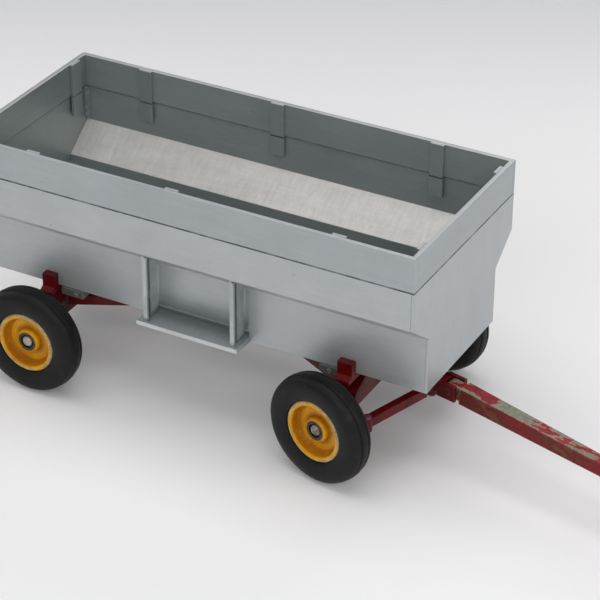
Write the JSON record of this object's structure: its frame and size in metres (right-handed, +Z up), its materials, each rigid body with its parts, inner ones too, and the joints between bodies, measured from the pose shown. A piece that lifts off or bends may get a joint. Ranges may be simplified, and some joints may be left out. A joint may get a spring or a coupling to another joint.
{
  "type": "gravity wagon",
  "caption": "Scale-model gravity wagon: hopper box with sloped floor, side chute and sliding gate, knuckle-steered running gear with tie rods, rubber tyres and a lifting tongue.",
  "frame": {"origin": "on the ground under the middle of the whole wagon, tongue included", "axes": "+X forward to the hitch, +Y to the side away from the chute, +Z up"},
  "size_m": [0.3072, 0.113, 0.1062],
  "materials": {
    "box_grey": "satin brushed grey",
    "inner_grey": "satin brushed grey",
    "gear_red": "semi-gloss dark red",
    "tongue_red": "worn gloss red, chipped to metal",
    "rim_yellow": "worn yellow-orange enamel",
    "tyre": "matt black rubber",
    "bare_steel": "tarnished steel"
  },
  "bodies": {
    "box": {"side_sheet_near": "box_grey", "side_sheet_far": "box_grey", "front_panel": "box_grey", "rear_panel": "box_grey", "floor_panel": "inner_grey", "front_floor_slope": "inner_grey", "rear_floor_slope": "inner_grey", "extension_near": "box_grey", "extension_far": "box_grey", "extension_front": "box_grey", "extension_rear": "box_grey", "stake_straps": "inner_grey", "corner_strips": "inner_grey", "chute_tray": "box_grey", "chute_plate_front": "box_grey", "chute_plate_rear": "box_grey", "gate_guide_front": "inner_grey", "gate_guide_rear": "inner_grey", "front_sill": "box_grey", "rear_sill": "box_grey", "sill_bolts": "bare_steel", "front_bolster": "gear_red", "rear_bolster": "gear_red", "bolster_stakes": "gear_red", "reach_pole": "gear_red", "yoke_bracket": "gear_red", "front_hounds": "gear_red", "rear_hounds": "gear_red", "front_axle_beam": "gear_red", "rear_axle_beam": "gear_red", "kingpins": "bare_steel", "yoke_pivot_bolt": "bare_steel", "wheel_pin_rear_near": "bare_steel", "wheel_pin_rear_far": "bare_steel"},
    "gate": {"discharge_gate": "box_grey"},
    "yoke": {"steering_yoke": "gear_red", "rod_pin": "bare_steel", "tongue_pin": "bare_steel"},
    "drawbar": {"tongue": "tongue_red"},
    "knuckle_near": {"knuckle_near": "gear_red", "arm_rivet_near": "bare_steel", "wheel_pin_front_near": "bare_steel"},
    "knuckle_far": {"knuckle_far": "gear_red", "arm_rivet_far": "bare_steel", "wheel_pin_front_far": "bare_steel"},
    "rod_near": {"tie_rod_near": "gear_red"},
    "rod_far": {"tie_rod_far": "gear_red"},
    "wheel_front_near": {"rim_front_near": "rim_yellow", "tyre_front_near": "tyre"},
    "wheel_front_far": {"rim_front_far": "rim_yellow", "tyre_front_far": "tyre"},
    "wheel_rear_near": {"rim_rear_near": "rim_yellow", "tyre_rear_near": "tyre"},
    "wheel_rear_far": {"rim_rear_far": "rim_yellow", "tyre_rear_far": "tyre"}
  },
  "joints": [
    {"name": "steer", "type": "hinge", "parent": "box", "child": "yoke", "pos_m": [0.02402, 0, 0.028], "axis": [0, 0, 1], "range_deg": [-16, 40]},
    {"name": "knuckle_near_turn", "type": "hinge", "parent": "box", "child": "knuckle_near", "pos_m": [0.01282, -0.034, 0.026], "axis": [0, 0, 1], "range_deg": [-16, 40]},
    {"name": "knuckle_far_turn", "type": "hinge", "parent": "box", "child": "knuckle_far", "pos_m": [0.01282, 0.034, 0.026], "axis": [0, 0, 1], "range_deg": [-16, 40]},
    {"name": "rod_near_pivot", "type": "hinge", "parent": "yoke", "child": "rod_near", "pos_m": [0.03574, -0.00256, 0.0239], "axis": [0, 0, 1], "range_deg": [-40, 16]},
    {"name": "rod_far_pivot", "type": "hinge", "parent": "yoke", "child": "rod_far", "pos_m": [0.03574, -0.00256, 0.0239], "axis": [0, 0, 1], "range_deg": [-40, 16]},
    {"name": "tongue_lift", "type": "hinge", "parent": "yoke", "child": "drawbar", "pos_m": [0.0461, -0.00481, 0.0283], "axis": [-0.213, -0.977, 0], "range_deg": [-10, 45]},
    {"name": "gate_slide", "type": "slide", "parent": "box", "child": "gate", "axis": [0, 0, 1], "range_m": [-0.0016, 0.012]},
    {"name": "front_near_spin", "type": "hinge", "parent": "knuckle_near", "child": "wheel_front_near", "pos_m": [0.01078, -0.04333, 0.023], "axis": [0.213, 0.977, 0], "continuous": true},
    {"name": "front_far_spin", "type": "hinge", "parent": "knuckle_far", "child": "wheel_front_far", "pos_m": [0.01485, 0.04333, 0.023], "axis": [0.213, 0.977, 0], "continuous": true},
    {"name": "rear_near_spin", "type": "hinge", "parent": "box", "child": "wheel_rear_near", "pos_m": [-0.12318, -0.0476, 0.023], "axis": [0, 1, 0], "continuous": true},
    {"name": "rear_far_spin", "type": "hinge", "parent": "box", "child": "wheel_rear_far", "pos_m": [-0.12318, 0.0476, 0.023], "axis": [0, 1, 0], "continuous": true}
  ],
  "couplings": [
    {"joint": "knuckle_near_turn", "follows": "steer", "ratio": 1},
    {"joint": "knuckle_far_turn", "follows": "steer", "ratio": 1},
    {"joint": "rod_near_pivot", "follows": "steer", "ratio": -1},
    {"joint": "rod_far_pivot", "follows": "steer", "ratio": -1}
  ]
}
